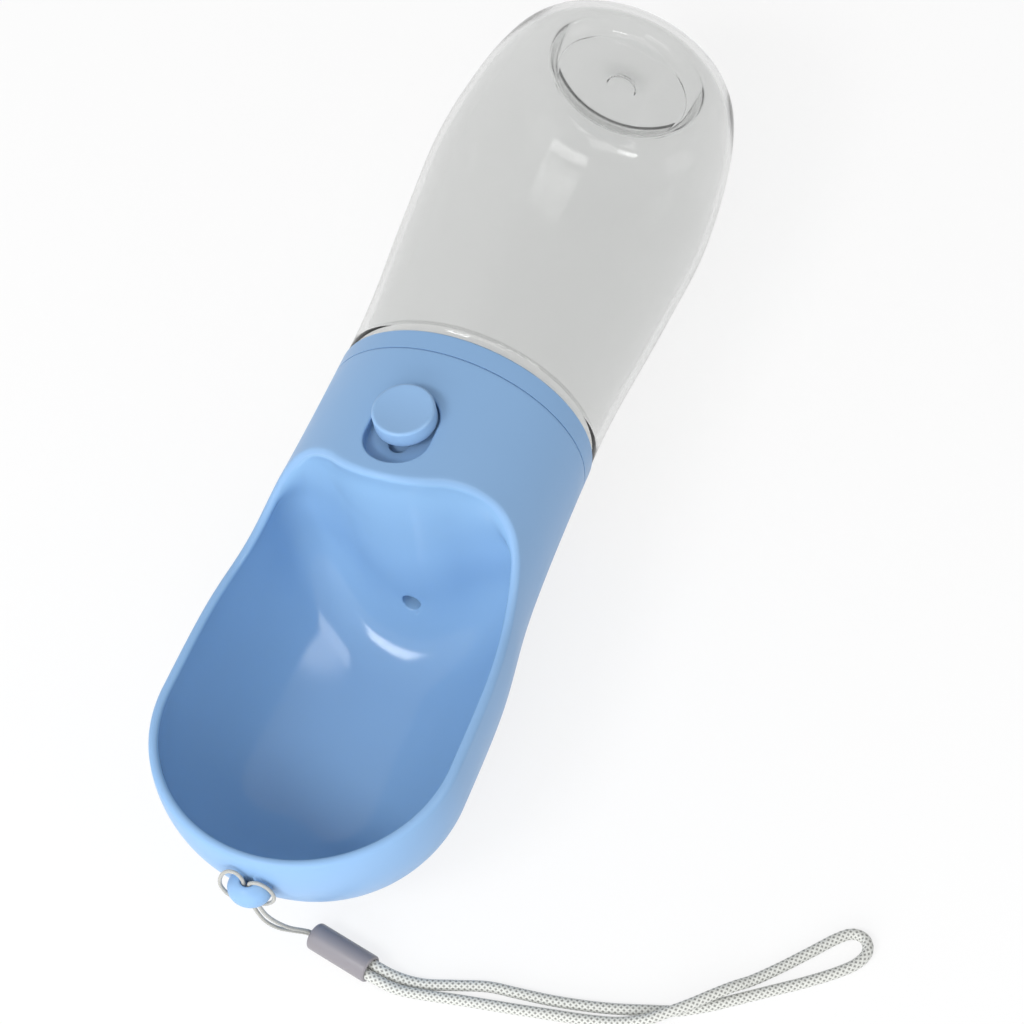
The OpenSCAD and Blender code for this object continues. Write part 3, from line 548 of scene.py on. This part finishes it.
def closed_skin(rows):
    """A closed body from rings of points; its first and last ring are drawn in to a point."""
    ends = [np.broadcast_to(np.asarray(row).mean(0), np.shape(row)) for row in (rows[0], rows[-1])]
    bm = skin([ends[0], *rows, ends[1]])
    close_up(bm, gap=2e-6, sliver=1e-7)
    return bm


ring_steps = 96


def lipped_tool(outline, surface, place, deep, lip):
    """A cutter that leaves a rounded lip, from its outline and the height of the surface it cuts."""
    rows = [place(outline(0), np.full(ring_steps, deep))]
    for lean in np.radians([0, 15, 30, 45, 60, 74]):
        plan = outline(lip * (1 - math.cos(lean)))
        rows.append(place(plan, surface(plan) - lip * (1 - math.sin(lean))))
    plan = outline(lip * 1.6)
    return closed_skin(rows + [place(plan, surface(plan) + lip * 0.3), place(plan, surface(plan) + 3)])


pocket_r, lock_low, lock_high = 7.65, 138.6, 143.6


def racetrack(radius):
    """Outline of the pocket across x and along the bottle, between the button's two places."""
    turn = np.linspace(0, 2 * math.pi, ring_steps, endpoint=False) + math.pi / ring_steps
    end = np.where(np.sin(turn) > 0, lock_high, lock_low)
    return np.stack([radius * np.cos(turn), radius * np.sin(turn) + end], -1)


def over_skin(plan):
    """Height of the housing's skin over points of a plan."""
    return np.sqrt(np.interp(plan[:, 1], side[:, 1], side[:, 0]) ** 2 - plan[:, 0] ** 2)


def stand_up(plan, height):
    """Points of a plan seen from above, at their heights."""
    return at(np.stack([plan[:, 0], height, plan[:, 1]], -1))


def on_end_wall(plan):
    """Place along the bottle of the end wall behind points of a cross-section."""
    start = np.stack([plan[:, 0], plan[:, 1], np.full(len(plan), 175.0)], -1)
    return meet(inside_bowl, start, np.broadcast_to([0, 0, -1.0], start.shape), 0, 35)[:, 2]


def outlet_ring(wider):
    """Outline of the outlet hole in the cross-section."""
    turn = np.linspace(0, 2 * math.pi, ring_steps, endpoint=False)
    radius = outlet_r + wider
    return np.stack([radius * np.cos(turn), radius * np.sin(turn) + outlet_height], -1)


def lie_along(plan, z):
    """Points of a cross-section, at their places along the bottle."""
    return at(np.column_stack([plan, z]))


satin_blue = moulded("housing_satin_blue", (0.235, 0.40, 0.64), 0.38, grain=1400.0, depth=0.000012,
                     wander=0.02, gloss=0.2)
gloss_blue = moulded("bowl_gloss_blue", (0.236, 0.412, 0.645), 0.13, grain=260.0, depth=0.00001,
                     wander=0.02, gloss=0.32)
shell = object_from(bm, "bowl_shell", satin_blue, gloss_blue)
for face in shell.data.polygons:
    face.material_index = int(face.index >= around * gloss_row)
pocket_tool = lipped_tool(lambda wider: racetrack(pocket_r + wider), over_skin, stand_up, deep=26.0, lip=0.5)
carve(shell, object_from(pocket_tool, "pocket_tool", satin_blue))
outlet_tool = lipped_tool(outlet_ring, on_end_wall, lie_along, deep=140.0, lip=0.35)
carve(shell, object_from(outlet_tool, "outlet_tool", gloss_blue))

# The lug is an eye with a standing hole, cut off flat within the shell's wall and joined to it.
lug_profile = [(1.3, -2.95), (1.3, 2.95)] + quarter(1.7, 2.95, 0.4, 0.35, 180, 100, 4)[1:]
lug_profile += quarter(1.0, 0, 3.4, 3.4, 76, -76, 24) + quarter(1.7, -2.95, 0.4, 0.35, 260, 180, 4)
lug_lay = Matrix.Translation(at((0, -3.2, 241.1))) @ Matrix.Diagonal((1.14, 1, 1, 1))
lug = turned(lug_profile, "lug_tool", satin_blue, steps=64, lay=lug_lay)
bm = bmesh.new()
bm.from_mesh(lug.data)
bmesh.ops.bisect_plane(bm, geom=bm.verts[:] + bm.edges[:] + bm.faces[:], plane_co=at((0, 0, 238.7)),
                       plane_no=(0, 1, 0), clear_outer=True)
bmesh.ops.holes_fill(bm, edges=[edge for edge in bm.edges if edge.is_boundary])
bm.to_mesh(lug.data)
bm.free()
carve(shell, lug, "UNION")

# Behind the end wall's top the lock's carriage and the push rod's foot have room to slide.
bm = bmesh.new()
carriage_room = Matrix.Translation(at((0, 24.5, 148.4))) @ Matrix.Diagonal((0.0208, 0.0048, 0.0062, 1))
bmesh.ops.create_cube(bm, size=1, matrix=carriage_room)
carve(shell, object_from(bm, "carriage_room", satin_blue))

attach(shell, "housing")
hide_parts("bowl_housing")


# Button pocket's cup, moulded with the housing: round walls just inside the pocket's hole,
# a flat floor, and the slot that the push rod slides in.
cup_r, slot_r, cup_floor = pocket_r - 0.05, 2.3, 28.6
cup_profile = [(cup_r, 30.6)] + quarter(cup_r - 0.5, cup_floor + 0.5, 0.5, 0.5, 0, -90, 5)
cup_profile += [(5, cup_floor), (slot_r + 0.3, cup_floor), (slot_r + 0.1, cup_floor - 0.1)]
cup_profile += [(slot_r, cup_floor - 0.3), (slot_r, 27), (9.0, 27), (9.0, 29.6), (cup_r, 30.6)]
bm = skin([stand_up(racetrack(r), np.full(ring_steps, height)) for r, height in cup_profile])
close_up(bm)
cup = object_from(bm, "button_pocket", satin_blue)
cup.data.set_sharp_from_angle(angle=math.radians(40))
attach(cup, "housing")
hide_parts("bowl_housing")


# Button: a 14 mm cap with a shallow dish for the finger, a round edge and a plain skirt.
# It slides 5 mm to lock and presses in 2 mm to open the valve.
button_blue = moulded("button_satin_blue", (0.24, 0.405, 0.645), 0.34, grain=1400.0, depth=0.000012,
                      wander=0.02, gloss=0.32)
button_r, dish_r, dish_height = 7.2, 45, 34.6
dish = [(r, dish_height + dish_r - math.sqrt(dish_r ** 2 - r ** 2)) for r in np.linspace(0, 6.35, 14)]
edge_and_skirt = quarter(button_r - 0.7, 34.4, 0.7, 0.66, 84, 0, 9) + [(button_r, 32.0), (button_r, 31.1)]
edge_and_skirt += [(7.15, 30.85), (7.0, 30.8), (6.2, 30.8), (6.1, 30.9), (6.1, 32.9)]
boss = [(3.3, 32.9), (3.2, 32.8), (3.2, 30.9), (2.05, 30.9), (2.05, 32.9), (0, 32.9)]
button = turned(dish + edge_and_skirt + boss, "button_dished", button_blue,
                lay=Matrix.Translation(at((0, 0, lock_low))))
button.data.set_sharp_from_angle(angle=math.radians(40))
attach(button, "button")
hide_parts("button_cap")


# Thread collar: the blue ring between bottle and bowl. Its rim shows as a 5 mm band;
# the barrel, the spigot with its snap bead and the plate are hidden inside.
def paint(name, material):
    """Give a node that is shown as it is its own finish."""
    nodes[name].data.materials.clear()
    nodes[name].data.materials.append(material)


collar_blue = moulded("collar_satin_blue", (0.228, 0.388, 0.622), 0.36, grain=1400.0, depth=0.000012,
                      wander=0.02, gloss=0.2)
paint("thread_collar", collar_blue)


# Bottle: blown from clear plastic with a faint grey cast, 1.6 mm thick. It swells from
# the collar, and its rounded foot has a pushed-up middle with a small gate mark.
clear_plastic, surface, add, link = shader("clear_bottle", (0.80, 0.805, 0.80), 0.04)
surface.inputs["Transmission Weight"].default_value = 1.0
surface.inputs["IOR"].default_value = 1.36
place = add("TexCoord").outputs["Object"]
flow = add("TexNoise", {"Vector": add("Mapping", {0: place}, in_3=(1.0, 0.35, 1.0)).outputs[0]}, in_2=45.0,
           in_3=2.0)
sheen = add("MapRange", {0: flow.outputs["Fac"]}, in_1=0.3, in_2=0.7, in_3=0.02, in_4=0.06)
link(sheen.outputs[0], "Roughness")
link(add("Bump", {"Height": flow.outputs["Fac"]}, in_0=0.4, in_1=0.00012).outputs[0], "Normal")
bottle_wall, waist_r, neck_r = 1.6, 31.6, 22
bulge = bowl_r - waist_r


def bottle_side(inset):
    """The bottle's side from shoulder to foot; inset gives the inside of the wall."""
    swell = [(0, 111.4), (0.02, 98.04), (0.48, 79.8), (0.75, 62.7), (1.11, 45.6), (0.81, 28.5), (0.27, 11.4),
             (-0.9, inset - 0.1)]
    line = [(waist_r + share * bulge - inset, z) for share, z in swell] + [(17, inset - 0.1)]
    return [p for p in spline_through(line, 121).tolist() if p[1] > inset + 0.55]


outer = [(20, 124.4), (21.6, 124.4), (21.9, 124.3), (neck_r, 124), (neck_r, 114.5), (22.15, 114.15)]
outer += [(22.5, 114)] + quarter(29.0, 111.4, 2.6, 2.6, 90, 0, 10) + bottle_side(0)[1:]
outer += [(22.5, 0.36), (21.7, 0.08), (21, 0), (20.1, 0.02), (19.7, 0.14)]
outer += quarter(17.4, 0.4, 2.1, 4.8, 0, 85, 9) + [(17.1, 5.4), (17.0, 5.85), (16.7, 6.0)]
outer += [(4.1, 6.0), (3.85, 5.9), (3.6, 5.55), (3.4, 5.5), (0, 5.5)]
inner = [(0, 7.6), (16.5, 7.6), (16.9, 7.4)] + quarter(17.4, 1.7, 3.6, 5.1, 85, 0, 9) + [(21.3, 1.6)]
inner += bottle_side(bottle_wall)[::-1] + quarter(28.2, 110.6, 1.8, 1.8, 0, 90, 8)
inner += [(20.6, 112.4), (20.15, 112.6), (20, 113)]
upright = Matrix.Translation(at((0, 0, 0))) @ Matrix.Rotation(math.radians(90), 4, "X")
bottle = turned(outer + inner + outer[:1], "bottle_clear", clear_plastic, steps=192, lay=upright)

# The neck's thread is one ridge of 1.35 turns that rises from the neck and sinks into it again.
thread_turns, thread_lead, thread_z, thread_height = 1.35, 5, 115.9, 1.0
ridge = []
for t in np.linspace(0, thread_turns, 140):
    height = thread_height * min(1, min(t, thread_turns - t) / 0.09) ** 0.6
    turn, z = 2 * math.pi * t + 0.6, thread_z + thread_lead * t
    section = ((neck_r - 0.3, -1.1), (neck_r, -1.1), (neck_r + height, -0.35), (neck_r + height, 0.35),
               (neck_r, 1.1), (neck_r - 0.3, 1.1))
    ridge.append([(r * math.cos(turn), r * math.sin(turn), z + step) for r, step in section])
carve(bottle, object_from(closed_skin([at(ring) for ring in ridge]), "thread_tool", clear_plastic), "UNION")
bottle.data.set_sharp_from_angle(angle=math.radians(50))
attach(bottle, "bottle")
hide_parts("bottle")


# The valve's works, hidden behind the end wall: white acetal mouldings, grey silicone
# seals, black rubber rings and bright steel screws, with the rod and the lock's carriage in blue.
white_acetal = moulded("white_acetal", (0.84, 0.84, 0.81), 0.4, grain=1500.0, depth=0.00002)
grey_silicone = moulded("grey_silicone", (0.55, 0.56, 0.56), 0.6, grain=900.0, depth=0.00003)
black_rubber = moulded("black_rubber", (0.018, 0.018, 0.018), 0.55, grain=1200.0, depth=0.00002)
bright_steel = moulded("bright_steel", (0.60, 0.61, 0.62), 0.22, grain=2500.0, depth=0.00001, metal=1.0)
works = {
    button_blue: ("push_rod", "lock_carriage"),
    white_acetal: ("carriage_retainer", "valve_block", "valve_spool", "valve_end_plug", "outlet_tube"),
    grey_silicone: ("neck_seal", "inlet_seal", "outlet_seal"),
    black_rubber: ("spool_ring_upper", "spool_ring_lower"),
    bright_steel: ("valve_screw_1", "valve_screw_2", "valve_screw_3", "valve_screw_4"),
}
for material, names in works.items():
    for name in names:
        paint(name, material)


# Two coil springs of steel wire, one under the button and one under the valve's spool.
# On the bottle each stands on its seat and is pressed shorter by the 2 mm that the button travels; here each
# is its node's mesh, closed up in steel and carried by its body.
for name, body, joint, seat, length in (("button_spring", "lock", "button_press", 0.0647, 0.0043),
                                        ("valve_spring", "housing", "valve_travel", 0.01525, 0.0112)):
    bm = bmesh.new()
    bm.from_mesh(nodes[name].data)
    close_up(bm)
    coil = object_from(bm, name + "_coil", bright_steel)
    coil.data.set_sharp_from_angle(angle=math.radians(50))
    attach(coil, body)
    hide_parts(name)
    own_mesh(coil)


# White studio: a plain floor that stays white and keeps a soft shadow, an even sky, a wide low
# lamp with a fill above it, a lamp on either side, and two windows that the glossy bowl mirrors.
def white_rays(tree):
    """One for a ray from the camera, off a glossy surface or through the bottle, which sees plain white."""
    rays = tree.nodes.new("ShaderNodeLightPath")
    seen = rays.outputs["Is Camera Ray"]
    for kind in ("Is Glossy Ray", "Is Transmission Ray"):
        larger = tree.nodes.new("ShaderNodeMath")
        larger.operation = "MAXIMUM"
        tree.links.new(seen, larger.inputs[0])
        tree.links.new(rays.outputs[kind], larger.inputs[1])
        seen = larger.outputs[0]
    return seen


world = bpy.data.worlds.new("studio")
scene.world = world
world.use_nodes = True
tree = world.node_tree
sky = tree.nodes["Background"]
sky.inputs["Color"].default_value = (1, 1, 1, 1)
sky_level = tree.nodes.new("ShaderNodeMapRange")
sky_level.inputs["To Min"].default_value = 0.50
sky_level.inputs["To Max"].default_value = 1.0
tree.links.new(white_rays(tree), sky_level.inputs["Value"])
tree.links.new(sky_level.outputs[0], sky.inputs["Strength"])

floor_paint = bpy.data.materials.new("floor_paint")
floor_paint.use_nodes = True
tree = floor_paint.node_tree
tree.nodes.remove(tree.nodes["Principled BSDF"])
lit = tree.nodes.new("ShaderNodeBsdfDiffuse")
lit.inputs["Color"].default_value = (0.9, 0.9, 0.9, 1)
glow = tree.nodes.new("ShaderNodeEmission")
mixed = tree.nodes.new("ShaderNodeMixShader")
share = tree.nodes.new("ShaderNodeMath")
share.operation = "MULTIPLY"
share.inputs[1].default_value = 0.8
tree.links.new(white_rays(tree), share.inputs[0])
tree.links.new(share.outputs[0], mixed.inputs[0])
tree.links.new(lit.outputs[0], mixed.inputs[1])
tree.links.new(glow.outputs[0], mixed.inputs[2])
tree.links.new(mixed.outputs[0], tree.nodes["Material Output"].inputs["Surface"])
bm = bmesh.new()
bmesh.ops.create_grid(bm, x_segments=1, y_segments=1, size=3)
floor = object_from(bm, "studio_floor", floor_paint)

# Each lamp has a place, a point that it faces, a size and a power; only the windows are mirrored.
lamps = {
    "low_lamp": ((0.1, -1.1, 0.35), (0, 0, 0.03), (1.0, 0.5), 6.8),
    "left_window": ((-0.30, -0.82, 0.96), (0, -0.04, 0.01), (0.40, 0.28), 5.2),
    "fill_lamp": ((0.2, -0.85, 0.93), (0, 0, 0.03), (0.6, 0.5), 3.0),
    "right_window": ((0.76, 0.05, 0.96), (-0.015, -0.044, 0.01), (0.24, 0.8), 3.6),
    "left_lamp": ((-1.1, -0.2, 0.45), (0, 0, 0.03), (0.8, 0.6), 2.0),
    "right_lamp": ((1.1, -0.1, 0.5), (0, 0, 0.03), (0.8, 0.6), 1.3),
}
for name, (place, aim, size, power) in lamps.items():
    light = bpy.data.lights.new(name, "AREA")
    light.shape = "RECTANGLE"
    light.size, light.size_y = size
    light.energy = power
    lamp = bpy.data.objects.new(name, light)
    scene.collection.objects.link(lamp)
    lamp.location = place
    lamp.rotation_euler = (Vector(aim) - Vector(place)).to_track_quat("-Z", "Y").to_euler()
    lamp.visible_glossy = name.endswith("window")
    lamp.visible_diffuse = name != "right_window"

scene.view_settings.view_transform = "Standard"
